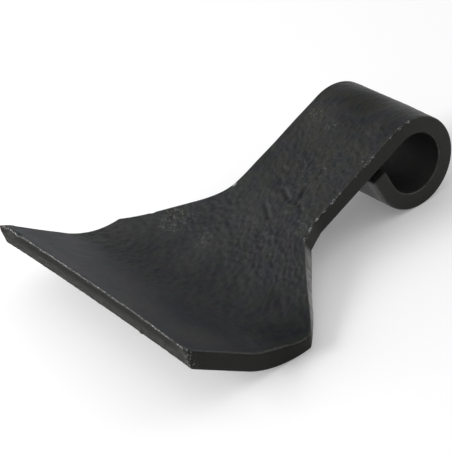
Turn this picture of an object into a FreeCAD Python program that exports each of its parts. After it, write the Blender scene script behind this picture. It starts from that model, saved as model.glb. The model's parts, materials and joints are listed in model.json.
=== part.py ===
import FreeCAD, Part
import math
import os

import Sketcher

# Mulcher hammer blade, one piece of bent flat steel. Sizes are in millimetres and degrees.
# A strip is rolled at one end into the eye for the rotor pin. Beyond the stem and the neck it
# spreads to the full cutting width, is bent up into a scoop and is ground to a cutting edge.
# The origin is the centre of the eye and Y is the eye's axis. The sketches are drawn with the
# stem level along X. The finished piece is then tilted about the eye until the eye and the back
# of the scoop both touch a level floor, which is how it lies when it is put down.

SIZES = {
    "bore_radius": 13.0,
    "strip_thickness": 7.0,
    "eye_wrap": 271.0,
    "eye_gap": 3.6,
    "stem_width": 50.0,
    "stem_length": 50.0,
    "neck_length": 8.0,
    "neck_width": 55.0,
    "flare_length": 32.0,
    "shoulder_width": 127.0,
    "bend_lead": 10.0,
    "bend_radius": 37.5,
    "bend_angle": 56.0,
    "lip_length": 30.0,
    "cutting_width": 130.0,
    "edge_angle": 55.0,
    "edge_sweep_radius": 1400.0,
    "trim_allowance": 4.0,
}

# Sizes that follow from those, as expressions on the size sheet. X runs along the stem from the
# centre of the eye, and Z is square to the stem.
EYE_RADIUS = "(sizes.bore_radius + sizes.strip_thickness)"
UNDER_BEND_RADIUS = "(sizes.bend_radius + sizes.strip_thickness)"
NECK_END = "(sizes.stem_length + sizes.neck_length)"
SHOULDER = f"({NECK_END} + sizes.flare_length)"
BEND_START = f"({SHOULDER} - sizes.bend_lead)"
LIP_ANGLE = "(sizes.bend_angle * 1 deg)"
LIP_START_X = f"({BEND_START} + sizes.bend_radius * sin({LIP_ANGLE}))"
LIP_START_Z = f"({EYE_RADIUS} + sizes.bend_radius * (1 - cos({LIP_ANGLE})))"
EDGE_X = f"({LIP_START_X} + sizes.lip_length * cos({LIP_ANGLE}))"
EDGE_Z = f"({LIP_START_Z} + sizes.lip_length * sin({LIP_ANGLE}))"
ROUGH_LIP = "(sizes.lip_length + sizes.trim_allowance)"
BEVEL_LENGTH = "(sizes.strip_thickness / sin(sizes.edge_angle * 1 deg))"

# The strip is made oversize by the trim allowance, and every cut reaches past it by as much.
ROUGH_WIDTH = "(max(sizes.cutting_width; sizes.shoulder_width) + 2 * sizes.trim_allowance)"
CUT_SIDE = f"({ROUGH_WIDTH} / 2 + sizes.trim_allowance)"
CUT_BACK = f"({EYE_RADIUS} + sizes.trim_allowance)"
CUT_FRONT = f"({EDGE_X} + {ROUGH_LIP} + sizes.strip_thickness)"

# The level floor touches the eye and the back of the bend. The line between their centres and
# the difference of their radii give the tilt.
BEND_CENTRE_Z = f"({EYE_RADIUS} + sizes.bend_radius)"
CENTRE_DISTANCE = f"sqrt({BEND_START}^2 + {BEND_CENTRE_Z}^2)"
RADIUS_STEP = f"({UNDER_BEND_RADIUS} - {EYE_RADIUS})"
REST_TILT = f"acos({RADIUS_STEP} / {CENTRE_DISTANCE}) - atan({BEND_START} / {BEND_CENTRE_Z})"

START, END, CENTRE = 1, 2, 3
ORIGIN = (-1, 1)


def make_size_sheet(doc):
    sheet = doc.addObject("Spreadsheet::Sheet", "sizes")
    for row, (name, number) in enumerate(SIZES.items(), start=1):
        sheet.set(f"A{row}", name)
        sheet.set(f"B{row}", str(number))
        sheet.setAlias(f"B{row}", name)
    doc.recompute()
    return sheet


def measure(sheet, expression):
    """The value of an expression on the size sheet, in millimetres or degrees."""
    result = sheet.evalExpression(expression)
    return float(getattr(result, "Value", result))


def new_sketch(body, name, plane):
    sketch = body.newObject("Sketcher::SketchObject", name)
    support = next(item for item in body.Origin.OriginFeatures if item.Role == plane)
    sketch.AttachmentSupport = (support, "")
    sketch.MapMode = "FlatFace"
    return sketch


def bind(sketch, name, expression, kind, *places):
    """Add a dimension between the places and tie its value to the size sheet."""
    now = measure(sketch.Document.sizes, expression)
    if kind == "Angle":
        now = math.radians(now)
    index = sketch.addConstraint(Sketcher.Constraint(kind, *places, now))
    sketch.renameConstraint(index, name)
    sketch.setExpression(f"Constraints.{name}", expression)


def join(sketch, kind, first, second):
    sketch.addConstraint(Sketcher.Constraint(kind, *first, *second))


def polar(centre, radius, degrees):
    turn = math.radians(degrees)
    return centre + FreeCAD.Vector(radius * math.cos(turn), radius * math.sin(turn), 0)


def add_line(sketch, first, last, construction=False):
    return sketch.addGeometry(Part.LineSegment(first, last), construction)


def add_arc(sketch, centre, radius, first_angle, last_angle):
    circle = Part.Circle(centre, FreeCAD.Vector(0, 0, 1), radius)
    ends = (math.radians(first_angle), math.radians(last_angle))
    return sketch.addGeometry(Part.ArcOfCircle(circle, *ends))


def draw_strip_edge_on(body):
    """The strip seen from the side: eye, stem, scoop bend and an overlong lip."""
    sketch = new_sketch(body, "strip_edge_on", "XZ_Plane")
    sheet = body.Document.sizes
    bore = measure(sheet, "sizes.bore_radius")
    eye = measure(sheet, EYE_RADIUS)
    inner = measure(sheet, "sizes.bend_radius")
    outer = measure(sheet, UNDER_BEND_RADIUS)
    bend = measure(sheet, "sizes.bend_angle")
    wrap = measure(sheet, "sizes.eye_wrap")
    lip = measure(sheet, ROUGH_LIP)
    tail = bore - measure(sheet, "sizes.eye_gap")

    eye_centre = FreeCAD.Vector(0, 0, 0)
    bend_centre = FreeCAD.Vector(measure(sheet, BEND_START), eye + inner, 0)
    lip_start = polar(bend_centre, inner, bend - 90)
    lip_start_under = polar(bend_centre, outer, bend - 90)
    lip_tip = polar(lip_start, lip, bend)
    lip_tip_under = polar(lip_start_under, lip, bend)
    tail_start = polar(eye_centre, bore, wrap + 90)
    tail_start_outer = polar(eye_centre, eye, wrap + 90)
    tail_tip = polar(tail_start, tail, wrap + 180)
    tail_tip_outer = polar(tail_start_outer, tail, wrap + 180)
    stem_level = bend_centre - FreeCAD.Vector(0, inner, 0)
    stem_level_under = bend_centre - FreeCAD.Vector(0, outer, 0)

    stem_top = add_line(sketch, FreeCAD.Vector(0, eye, 0), stem_level)
    bend_top = add_arc(sketch, bend_centre, inner, -90, bend - 90)
    lip_top = add_line(sketch, lip_start, lip_tip)
    lip_end = add_line(sketch, lip_tip, lip_tip_under)
    lip_under = add_line(sketch, lip_tip_under, lip_start_under)
    bend_under = add_arc(sketch, bend_centre, outer, -90, bend - 90)
    stem_under = add_line(sketch, stem_level_under, FreeCAD.Vector(0, bore, 0))
    bore_wall = add_arc(sketch, eye_centre, bore, 90, wrap + 90)
    tail_inner = add_line(sketch, tail_start, tail_tip)
    tail_end = add_line(sketch, tail_tip, tail_tip_outer)
    tail_outer = add_line(sketch, tail_tip_outer, tail_start_outer)
    eye_outside = add_arc(sketch, eye_centre, eye, 90, wrap + 90)

    join(sketch, "Tangent", (eye_outside, START), (stem_top, START))
    join(sketch, "Tangent", (stem_top, END), (bend_top, START))
    join(sketch, "Tangent", (bend_top, END), (lip_top, START))
    join(sketch, "Perpendicular", (lip_top, END), (lip_end, START))
    join(sketch, "Perpendicular", (lip_end, END), (lip_under, START))
    join(sketch, "Tangent", (lip_under, END), (bend_under, END))
    join(sketch, "Tangent", (bend_under, START), (stem_under, START))
    join(sketch, "Tangent", (stem_under, END), (bore_wall, START))
    join(sketch, "Tangent", (bore_wall, END), (tail_inner, START))
    join(sketch, "Perpendicular", (tail_inner, END), (tail_end, START))
    join(sketch, "Perpendicular", (tail_end, END), (tail_outer, START))
    join(sketch, "Tangent", (tail_outer, END), (eye_outside, END))
    join(sketch, "Coincident", (bore_wall, CENTRE), ORIGIN)
    join(sketch, "Coincident", (eye_outside, CENTRE), ORIGIN)
    join(sketch, "Coincident", (bend_under, CENTRE), (bend_top, CENTRE))
    sketch.addConstraint(Sketcher.Constraint("Horizontal", stem_top))

    bind(sketch, "bore_radius", "sizes.bore_radius", "Radius", bore_wall)
    bind(sketch, "eye_radius", EYE_RADIUS, "Radius", eye_outside)
    bind(sketch, "bend_radius", "sizes.bend_radius", "Radius", bend_top)
    bind(sketch, "under_bend_radius", UNDER_BEND_RADIUS, "Radius", bend_under)
    bind(sketch, "bend_start", BEND_START, "DistanceX", *ORIGIN, stem_top, END)
    bind(sketch, "rough_lip", ROUGH_LIP, "Distance", lip_top)
    bind(sketch, "lip_angle", "sizes.bend_angle", "Angle", lip_top)
    bind(sketch, "tail_angle", "sizes.eye_wrap - 180", "Angle", tail_inner)
    bind(sketch, "eye_gap", "sizes.eye_gap", "DistanceY", tail_outer, START, stem_under, END)
    return sketch


def draw_side_waste(body):
    """The steel outside the blade's outline on one side, seen square to the stem."""
    sketch = new_sketch(body, "side_waste", "XY_Plane")
    sheet = body.Document.sizes
    corners = {
        "eye_end": (f"-{CUT_BACK}", "sizes.stem_width / 2"),
        "neck_start": ("sizes.stem_length", "sizes.stem_width / 2"),
        "neck_end": (NECK_END, "sizes.neck_width / 2"),
        "shoulder": (SHOULDER, "sizes.shoulder_width / 2"),
        "edge_corner": (EDGE_X, "sizes.cutting_width / 2"),
        "past_edge": (CUT_FRONT, "sizes.cutting_width / 2"),
        "outer_front": (CUT_FRONT, CUT_SIDE),
        "outer_back": (f"-{CUT_BACK}", CUT_SIDE),
    }
    points = [FreeCAD.Vector(measure(sheet, x), measure(sheet, y), 0) for x, y in corners.values()]
    lines = [add_line(sketch, first, last) for first, last in zip(points, points[1:] + points[:1])]
    for line, following in zip(lines, lines[1:] + lines[:1]):
        join(sketch, "Coincident", (line, END), (following, START))
    for line, (name, (x, y)) in zip(lines, corners.items()):
        bind(sketch, f"{name}_x", x, "DistanceX", *ORIGIN, line, START)
        bind(sketch, f"{name}_y", y, "DistanceY", *ORIGIN, line, START)
    return sketch


def draw_edge_grind(body):
    """What the wheel takes off the lip. It swings about an axis square to the lip, far out in
    front, so the cutting edge comes out very slightly hollow across the blade."""
    sketch = new_sketch(body, "edge_grind", "XZ_Plane")
    sheet = body.Document.sizes
    bend = measure(sheet, "sizes.bend_angle")
    bevel_turn = bend + measure(sheet, "sizes.edge_angle") - 180
    bevel_length = measure(sheet, BEVEL_LENGTH)
    allowance = measure(sheet, "sizes.trim_allowance")
    depth = measure(sheet, f"2 * {ROUGH_LIP}")
    edge = FreeCAD.Vector(measure(sheet, EDGE_X), measure(sheet, EDGE_Z), 0)
    axis_foot = polar(edge, measure(sheet, "sizes.edge_sweep_radius"), bend)
    axis_head = polar(axis_foot, measure(sheet, "sizes.strip_thickness"), bend + 90)
    above = polar(edge, -allowance, bevel_turn)
    below = polar(edge, bevel_length + allowance, bevel_turn)
    above_out = polar(above, depth, bend)
    below_out = polar(below, depth, bend)

    axis = add_line(sketch, axis_foot, axis_head, construction=True)
    arm = add_line(sketch, edge, axis_foot, construction=True)
    bevel = add_line(sketch, above, below)
    lower = add_line(sketch, below, below_out)
    outer = add_line(sketch, below_out, above_out)
    upper = add_line(sketch, above_out, above)

    for line, following in ((bevel, lower), (lower, outer), (outer, upper), (upper, bevel)):
        join(sketch, "Coincident", (line, END), (following, START))
    join(sketch, "Perpendicular", (arm, END), (axis, START))
    sketch.addConstraint(Sketcher.Constraint("PointOnObject", arm, START, bevel))
    sketch.addConstraint(Sketcher.Constraint("Parallel", bevel, outer))
    sketch.addConstraint(Sketcher.Constraint("Parallel", lower, upper))

    bind(sketch, "edge_x", EDGE_X, "DistanceX", *ORIGIN, arm, START)
    bind(sketch, "edge_z", EDGE_Z, "DistanceY", *ORIGIN, arm, START)
    bind(sketch, "sweep_radius", "sizes.edge_sweep_radius", "Distance", arm)
    bind(sketch, "sweep_direction", "sizes.bend_angle", "Angle", arm)
    bind(sketch, "axis_length", "sizes.strip_thickness", "Distance", axis)
    bind(sketch, "bevel_turn", "sizes.bend_angle + sizes.edge_angle - 180", "Angle", bevel)
    bind(sketch, "over_edge", "sizes.trim_allowance", "Distance", bevel, START, arm, START)
    bind(sketch, "bevel_reach", f"{BEVEL_LENGTH} + sizes.trim_allowance", "Distance",
         bevel, END, arm, START)
    bind(sketch, "lower_turn", "sizes.bend_angle", "Angle", lower)
    bind(sketch, "depth", f"2 * {ROUGH_LIP}", "Distance", lower)
    return sketch


def removed(before, after):
    """The volume that a cut takes away, which must be more than nothing."""
    volume = before.Shape.Volume - after.Shape.Volume
    if volume <= 0:
        raise RuntimeError(f"{after.Name} cuts nothing")
    return volume


def build_blade(doc):
    body = doc.addObject("PartDesign::Body", "hammer_blade")
    body.Label = "hammer_blade"

    strip = body.newObject("PartDesign::Pad", "bent_strip")
    strip.Profile = draw_strip_edge_on(body)
    strip.Midplane = True
    strip.setExpression("Length", ROUGH_WIDTH)
    doc.recompute()

    side = body.newObject("PartDesign::Pocket", "outline_cut")
    side.Profile = draw_side_waste(body)
    side.Type = "ThroughAll"
    side.Midplane = True
    doc.recompute()

    other_side = body.newObject("PartDesign::Mirrored", "outline_cut_other_side")
    other_side.Originals = [side]
    mirror = next(item for item in body.Origin.OriginFeatures if item.Role == "XZ_Plane")
    other_side.MirrorPlane = (mirror, [""])
    body.Tip = other_side
    doc.recompute()

    grind = body.newObject("PartDesign::Groove", "ground_edge")
    grind.Profile = draw_edge_grind(body)
    grind.ReferenceAxis = (grind.Profile[0], ["Axis0"])
    grind.Midplane = True
    grind.setExpression("Angle", "2 * asin(sizes.cutting_width / sizes.edge_sweep_radius)")
    doc.recompute()

    for before, after in ((strip, side), (side, other_side), (other_side, grind)):
        print(after.Name, "takes off", round(removed(before, after)), "mm3")

    level = FreeCAD.Rotation(FreeCAD.Vector(0, 1, 0), 0)
    body.Placement = FreeCAD.Placement(FreeCAD.Vector(0, 0, 0), level)
    body.setExpression("Placement.Rotation.Angle", REST_TILT)
    doc.recompute()
    return body


def check(doc, body):
    for item in doc.Objects:
        if "Invalid" in item.State or "Error" in item.State:
            raise RuntimeError(f"{item.Name} failed: {item.State}")
        if item.TypeId == "Sketcher::SketchObject" and not item.FullyConstrained:
            raise RuntimeError(f"{item.Name} isn't fully constrained")
    shape = body.Shape
    if shape.isNull() or not shape.isValid() or len(shape.Solids) != 1:
        raise RuntimeError("the blade isn't one valid solid")


def main():
    doc = FreeCAD.newDocument("mulcher_hammer_blade")
    make_size_sheet(doc)
    body = build_blade(doc)
    check(doc, body)
    os.makedirs("parts", exist_ok=True)
    body.Shape.exportStep(f"parts/{body.Label}.step")
    box = body.Shape.optimalBoundingBox(True)
    tilt = math.degrees(body.Placement.Rotation.Angle)
    print(body.Label, "lies at", round(tilt, 2), "degrees")
    print("size", [round(side, 2) for side in (box.XLength, box.YLength, box.ZLength)])


main()
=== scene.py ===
# %% [markdown]
# # A mulcher hammer blade
# The real thing is one strip of tough steel. One end is rolled round a bar into an eye that hangs on
# the rotor's pin, the other end is spread, bent up into a scoop and ground to a cutting edge, and the
# whole piece is dipped in black paint. This lesson models the strip as it is made in the works,
# from a flat stem outwards, and then gives it the skin that hot work and paint leave behind.
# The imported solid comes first, because it fixes where everything is and how large it is.

# %% Load the solid model
import json
import math
import random

import bmesh
import bpy
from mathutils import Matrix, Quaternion, Vector


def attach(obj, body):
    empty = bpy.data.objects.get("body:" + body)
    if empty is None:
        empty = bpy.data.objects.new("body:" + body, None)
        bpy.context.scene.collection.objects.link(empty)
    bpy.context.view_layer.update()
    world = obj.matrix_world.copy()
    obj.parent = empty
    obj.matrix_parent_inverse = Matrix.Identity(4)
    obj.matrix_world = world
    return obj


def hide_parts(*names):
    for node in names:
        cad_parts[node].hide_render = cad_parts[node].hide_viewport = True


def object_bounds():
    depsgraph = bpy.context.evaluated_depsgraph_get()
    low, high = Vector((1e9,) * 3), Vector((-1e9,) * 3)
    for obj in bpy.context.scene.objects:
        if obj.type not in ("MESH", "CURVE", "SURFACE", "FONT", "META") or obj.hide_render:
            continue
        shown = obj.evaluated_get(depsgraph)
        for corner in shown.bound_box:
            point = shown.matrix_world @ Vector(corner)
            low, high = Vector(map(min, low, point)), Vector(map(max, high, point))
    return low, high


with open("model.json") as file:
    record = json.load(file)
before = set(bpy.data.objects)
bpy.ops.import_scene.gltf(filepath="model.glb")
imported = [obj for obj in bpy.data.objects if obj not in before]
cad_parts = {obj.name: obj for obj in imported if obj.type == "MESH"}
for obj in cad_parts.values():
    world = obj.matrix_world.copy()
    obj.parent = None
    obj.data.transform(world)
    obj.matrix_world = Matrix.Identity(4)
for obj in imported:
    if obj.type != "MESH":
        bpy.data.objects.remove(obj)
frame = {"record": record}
CAD_LOW, CAD_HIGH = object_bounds()
print("solid model runs from", CAD_LOW[:], "to", CAD_HIGH[:])

# %% [markdown]
# ## The sizes of the strip
# Blender works in metres here. The bore, the eye's width, the thickness and the cutting width can be
# read from the solid model. The rest are the sizes that a workshop drawing would give, and they are
# the same ones that the solid was made from. X runs along the stem from the centre of the eye, Y is
# the eye's axis and Z is square to the stem.

# %% Sizes
MM = 0.001
eye_bore = next(mount for mount in frame["record"]["mounts"] if mount["name"] == "eye_bore")
BORE_RADIUS = eye_bore["dims"]["r_mm"] * MM
STEM_WIDTH = eye_bore["dims"]["length_mm"] * MM
EYE_RADIUS = round(-CAD_LOW.x, 4)
THICKNESS = EYE_RADIUS - BORE_RADIUS
CUTTING_WIDTH = round(CAD_HIGH.y - CAD_LOW.y, 4)

EYE_WRAP = math.radians(271)
EYE_GAP = 3.6 * MM
STEM_LENGTH = 50 * MM
NECK_LENGTH = 8 * MM
NECK_WIDTH = 55 * MM
FLARE_LENGTH = 32 * MM
SHOULDER_WIDTH = 127 * MM
BEND_LEAD = 10 * MM
BEND_RADIUS = 37.5 * MM
BEND_ANGLE = math.radians(56)
LIP_LENGTH = 30 * MM
EDGE_ANGLE = math.radians(55)
EDGE_SWEEP_RADIUS = 1400 * MM

NECK_END = STEM_LENGTH + NECK_LENGTH
SHOULDER = NECK_END + FLARE_LENGTH
BEND_START = SHOULDER - BEND_LEAD
LIP_DIRECTION = Vector((math.cos(BEND_ANGLE), 0, math.sin(BEND_ANGLE)))
LIP_NORMAL = Vector((-math.sin(BEND_ANGLE), 0, math.cos(BEND_ANGLE)))
BEND_CENTRE = Vector((BEND_START, 0, EYE_RADIUS + BEND_RADIUS))
LIP_START = BEND_CENTRE - BEND_RADIUS * LIP_NORMAL
EDGE = LIP_START + LIP_LENGTH * LIP_DIRECTION
print("thickness", THICKNESS, "bend starts at", BEND_START, "and the edge is at", EDGE[:])

# %% [markdown]
# ## The camera
# The photograph was taken from well back with a long lens, so the far end of the blade hardly
# shrinks. The picture leans a little: the camera is rolled, which a product photographer does to
# fill the frame. The camera stands in a direction and at a distance from the point that it looks
# at. Lamps will stand in the same way, so the helper serves for both.

# %% Camera
AIM = Vector((74.7, -6.1, -2.3)) * MM
VIEW_DISTANCE = 0.698
VIEW_AZIMUTH = math.radians(149.9)
VIEW_ELEVATION = math.radians(32.26)
VIEW_ROLL = math.radians(-12.88)
LENS_MM = 139.0
SENSOR_MM = 36.0


def stand(name, data, azimuth, elevation, distance, roll=0):
    """Stand a camera or a lamp round AIM, turned towards it. Azimuth 0 is in front, along -Y."""
    level = math.cos(elevation)
    back = Vector((math.sin(azimuth) * level, -math.cos(azimuth) * level, math.sin(elevation)))
    item = bpy.data.objects.new(name, data)
    bpy.context.scene.collection.objects.link(item)
    item.location = AIM + distance * back
    item.rotation_mode = "QUATERNION"
    item.rotation_quaternion = (-back).to_track_quat("-Z", "Y") @ Quaternion((0, 0, 1), roll)
    print(name, "stands at", item.location[:])
    return item


camera_data = bpy.data.cameras.new("camera")
camera_data.lens = LENS_MM
camera_data.sensor_width = SENSOR_MM
bpy.context.scene.camera = stand(
    "camera", camera_data, VIEW_AZIMUTH, VIEW_ELEVATION, VIEW_DISTANCE, VIEW_ROLL)

# %% [markdown]
# ## Picking edges by their place
# By hand one would click on an edge and press a key. Here a small helper clicks for us: it selects
# every edge whose two ends pass a test, and says how many there were, so that a wrong test shows.

# %% Selection helpers
NEAR = 0.01 * MM


def same(a, b):
    """Whether two lengths are the same, but for rounding."""
    return abs(a - b) < NEAR


def deselect_objects():
    for item in bpy.context.selected_objects:
        item.select_set(False)


def select_edges(test):
    """In edit mode, select exactly the edges whose two end points pass the test."""
    bpy.ops.mesh.select_mode(type="EDGE")
    bpy.ops.mesh.select_all(action="DESELECT")
    mesh = bmesh.from_edit_mesh(bpy.context.edit_object.data)
    chosen = [edge for edge in mesh.edges if test(edge.verts[0].co, edge.verts[1].co)]
    for edge in chosen:
        edge.select_set(True)
    bmesh.update_edit_mesh(bpy.context.edit_object.data)
    return len(chosen)


# %% [markdown]
# ## The stem and the rolled eye
# The strip starts as a flat rectangle, its upper skin only: the thickness comes later, all at once.
# Rolling the eye is a spin. The edge at the end of the stem turns about the centre of the eye,
# a little over three quarters of the way round, and the tail that is left straight is one extrusion.
# A spin in many small steps keeps the eye round when it is seen from its end.

# %% Stem and eye
EYE_STEPS = 84
TAIL_LEAN = EYE_WRAP - math.pi
TAIL_DIRECTION = Vector((math.cos(TAIL_LEAN), 0, math.sin(TAIL_LEAN)))
TAIL_START = EYE_RADIUS * Vector((math.sin(TAIL_LEAN), 0, -math.cos(TAIL_LEAN)))
TAIL_LENGTH = (BORE_RADIUS - EYE_GAP - TAIL_START.z) / TAIL_DIRECTION.z

deselect_objects()
bpy.ops.mesh.primitive_plane_add(size=1, location=(STEM_LENGTH / 2, 0, EYE_RADIUS))
blade = bpy.context.object
blade.name = "forged_hammer_blade"
bpy.ops.object.mode_set(mode="EDIT")
bpy.ops.transform.resize(value=(STEM_LENGTH, STEM_WIDTH, 1))
bpy.ops.object.mode_set(mode="OBJECT")
bpy.ops.object.transform_apply(location=True, rotation=True, scale=True)
bpy.ops.object.mode_set(mode="EDIT")

print("edges to roll:", select_edges(lambda a, b: same(a.x, 0) and same(b.x, 0)))
bpy.ops.mesh.spin(steps=EYE_STEPS, angle=EYE_WRAP, center=(0, 0, 0), axis=(0, 1, 0))
bpy.ops.mesh.extrude_edges_move(TRANSFORM_OT_translate={"value": TAIL_LENGTH * TAIL_DIRECTION})
print("tail starts at", TAIL_START[:], "and is", TAIL_LENGTH, "long")

# %% [markdown]
# ## The neck, the flare and the scoop
# At the other end the strip widens twice: a short neck with flat facets, then the straight flare that
# runs out to the shoulders. Each is one extrusion that is then stretched sideways. The bend is a
# second spin, about a line above the strip. It starts before the shoulders, so the first rows of the
# bend are stretched too: a row's width depends only on how far along the stem it is.

# %% Neck, flare and scoop
SHOULDER_TURN = math.asin(BEND_LEAD / BEND_RADIUS)
SHOULDER_STEPS = 10
SCOOP_STEPS = 27


def width_at(x):
    """The blade's full width at a distance along the stem from the centre of the eye."""
    if x < STEM_LENGTH:
        return STEM_WIDTH
    stations = [
        (STEM_LENGTH, STEM_WIDTH),
        (NECK_END, NECK_WIDTH),
        (SHOULDER, SHOULDER_WIDTH),
        (EDGE.x, CUTTING_WIDTH),
    ]
    for (x0, w0), (x1, w1) in zip(stations, stations[1:]):
        if x <= x1 + NEAR:
            return w0 + (w1 - w0) * (x - x0) / (x1 - x0)
    return CUTTING_WIDTH


def select_row(place):
    """Select the edges that cross the strip at this place, seen along Y, and count them."""
    return select_edges(lambda a, b: all(same(p.x, place.x) and same(p.z, place.z) for p in (a, b)))


def stretch_row(place):
    """Stretch the row of points at this place to the blade's width there."""
    select_row(place)
    mesh = bmesh.from_edit_mesh(bpy.context.edit_object.data)
    now = 2 * max(point.co.y for point in mesh.verts if point.select)
    bpy.ops.transform.resize(value=(1, width_at(place.x) / now, 1), center_override=place)


def extrude_strip(start, step):
    """Lengthen the strip from the row at start by the vector step."""
    select_row(start)
    bpy.ops.mesh.extrude_edges_move(TRANSFORM_OT_translate={"value": step})
    stretch_row(start + step)
    return start + step


def bend_row(turn):
    """Where the bend's upper skin is when it has turned by this angle."""
    return BEND_CENTRE + BEND_RADIUS * Vector((math.sin(turn), 0, -math.cos(turn)))


def spin_bend(first, last, steps):
    """Spin the strip on from one turn of the bend to another, row by row."""
    select_row(bend_row(first))
    bpy.ops.mesh.spin(steps=steps, angle=last - first, center=BEND_CENTRE, axis=(0, 1, 0))
    for step in range(1, steps + 1):
        stretch_row(bend_row(first + (last - first) * step / steps))


place = Vector((STEM_LENGTH, 0, EYE_RADIUS))
place = extrude_strip(place, Vector((NECK_LENGTH, 0, 0)))
place = extrude_strip(place, Vector((BEND_START - NECK_END, 0, 0)))
spin_bend(0, SHOULDER_TURN, SHOULDER_STEPS)
spin_bend(SHOULDER_TURN, BEND_ANGLE, SCOOP_STEPS)
place = extrude_strip(LIP_START, LIP_LENGTH * LIP_DIRECTION)
print("the strip ends at", place[:], "and is", width_at(place.x), "wide there")

# %% [markdown]
# ## The thickness and the ground edge
# Solidify gives the skin its seven millimetres, inwards on the eye and downwards elsewhere. The
# faces' directions are set right first, because the thickness grows away from them. The wheel then
# takes the underside of the lip back at an angle: the lower edge of the end face is slid back along
# the lip, which leaves the cutting edge sharp on the upper side.

# %% Thickness and ground edge
bpy.ops.mesh.select_all(action="SELECT")
bpy.ops.mesh.remove_doubles(threshold=NEAR)
bpy.ops.mesh.normals_make_consistent(inside=False)
mesh = bmesh.from_edit_mesh(blade.data)
stem_face = min(mesh.faces, key=lambda face: (face.calc_center_median() - Vector(
    (STEM_LENGTH / 2, 0, EYE_RADIUS))).length)
if stem_face.normal.z < 0:
    bpy.ops.mesh.flip_normals()
print("stem's upper skin faces", bmesh.from_edit_mesh(blade.data).faces[stem_face.index].normal.z)
bpy.ops.object.mode_set(mode="OBJECT")


def apply_modifier(kind, **settings):
    """Add a modifier to the active object, set it up and apply it."""
    bpy.ops.object.modifier_add(type=kind)
    modifier = bpy.context.object.modifiers[-1]
    for name, value in settings.items():
        setattr(modifier, name, value)
    bpy.ops.object.modifier_apply(modifier=modifier.name)
    print(kind, "leaves", len(bpy.context.object.data.polygons), "faces")


apply_modifier("SOLIDIFY", thickness=THICKNESS, offset=-1, use_even_offset=True)

GRIND_SETBACK = THICKNESS / math.tan(EDGE_ANGLE)
bpy.ops.object.mode_set(mode="EDIT")
under_edge = EDGE - THICKNESS * LIP_NORMAL
print("lower edges:", select_row(under_edge))
bpy.ops.transform.translate(value=-GRIND_SETBACK * LIP_DIRECTION)
bpy.ops.object.mode_set(mode="OBJECT")

# %% [markdown]
# ## Softened arrises
# Sheared and forged steel has no perfectly sharp corner once it has been tumbled and painted. A narrow
# bevel all round catches the light as the real arris does. It comes while the strip is still made of
# a few large faces, so every corner is cut cleanly.

# %% Arris bevel
ARRIS = 0.45 * MM
ARRIS_LIMIT = math.radians(28)
apply_modifier("BEVEL", width=ARRIS, segments=2, limit_method="ANGLE", angle_limit=ARRIS_LIMIT)

# %% [markdown]
# ## A close net of faces
# The forging marks come as real relief, so the skin needs points about as close as a millimetre.
# Each set of long edges is cut in one go, which keeps the net square: first those that run across,
# in two rounds, then each straight stretch lengthwise, and last those through the thickness.

# %% Close net, across
ACROSS_CUTS = [(12, 10 * MM), (9, 3 * MM)]


def cut_edges(name, cuts, test):
    """Cut every edge that passes the test this many times."""
    count = select_edges(test)
    bpy.ops.mesh.subdivide(number_cuts=cuts)
    print(name, "edges:", count)


def runs_across(shortest):
    """A test for edges that cross the strip squarely and are longer than this."""
    return lambda a, b: same(a.x, b.x) and same(a.z, b.z) and abs(a.y - b.y) > shortest


bpy.ops.object.mode_set(mode="EDIT")
for cuts, shortest in ACROSS_CUTS:
    cut_edges("across", cuts, runs_across(shortest))

# %% [markdown]
# ## A slightly hollow edge
# The grinding wheel swings about a point far out in front of the blade, so the corners of the
# cutting edge reach a little further than its middle. Now that there are many columns, each point
# near the edge slides along the lip by the height of that large circle at its own place.

# %% Hollow edge
EDGE_ZONE = GRIND_SETBACK + 2 * MM


def edge_sweep(y):
    """How far the hollow edge stands ahead of its middle at a distance across the blade."""
    return EDGE_SWEEP_RADIUS - math.sqrt(EDGE_SWEEP_RADIUS ** 2 - y * y)


mesh = bmesh.from_edit_mesh(blade.data)
edge_points = [point for point in mesh.verts if (point.co - EDGE).dot(LIP_DIRECTION) > -EDGE_ZONE]
for point in edge_points:
    point.co += edge_sweep(point.co.y) * LIP_DIRECTION
bmesh.update_edit_mesh(blade.data)
print("points on the ground edge:", len(edge_points))

# %% [markdown]
# The lengthwise cuts follow the straight stretches. The spins have their rows already. Each stretch
# is known by its direction and by how long its edges still are. The short edges through the
# thickness come last, and give the side faces and the ground face their points.

# %% Close net, lengthwise
ALONG = Vector((1, 0, 0))
ANY_LENGTH = 1.0
STRETCHES = [
    ("stem", 70, ALONG, 45 * MM, ANY_LENGTH),
    ("lip", 29, LIP_DIRECTION, 20 * MM, ANY_LENGTH),
    ("flare", 31, ALONG, 18 * MM, ANY_LENGTH),
    ("neck", 10, ALONG, 6.5 * MM, ANY_LENGTH),
    ("tail", 7, TAIL_DIRECTION, 7.5 * MM, 9.5 * MM),
]
THROUGH_CUTS = 6
THROUGH_SHORTEST = 5 * MM
THROUGH_LONGEST = 9 * MM


def runs(direction, shortest, longest):
    """A test for edges that reach this far along a direction."""
    return lambda a, b: shortest < abs((b - a).dot(direction)) < longest


for name, cuts, direction, shortest, longest in STRETCHES:
    cut_edges(name, cuts, runs(direction, shortest, longest))
cut_edges("through the thickness", THROUGH_CUTS,
          lambda a, b: THROUGH_SHORTEST < (a - b).length < THROUGH_LONGEST)

# %% [markdown]
# ## Where a point sits on the strip
# Everything that follows depends on where a point is on the unrolled strip, because that is how the
# smith met it. A helper turns a place in space into a station along the upper skin, measured from
# the top of the eye, and a height above that skin, which is negative inside the steel. The places
# of all points are kept in a list now, while the outline is still exact.

# %% Strip places
LIP_STATION = BEND_START + BEND_RADIUS * BEND_ANGLE
EDGE_STATION = LIP_STATION + LIP_LENGTH
TAIL_STATION = -EYE_RADIUS * EYE_WRAP


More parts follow.
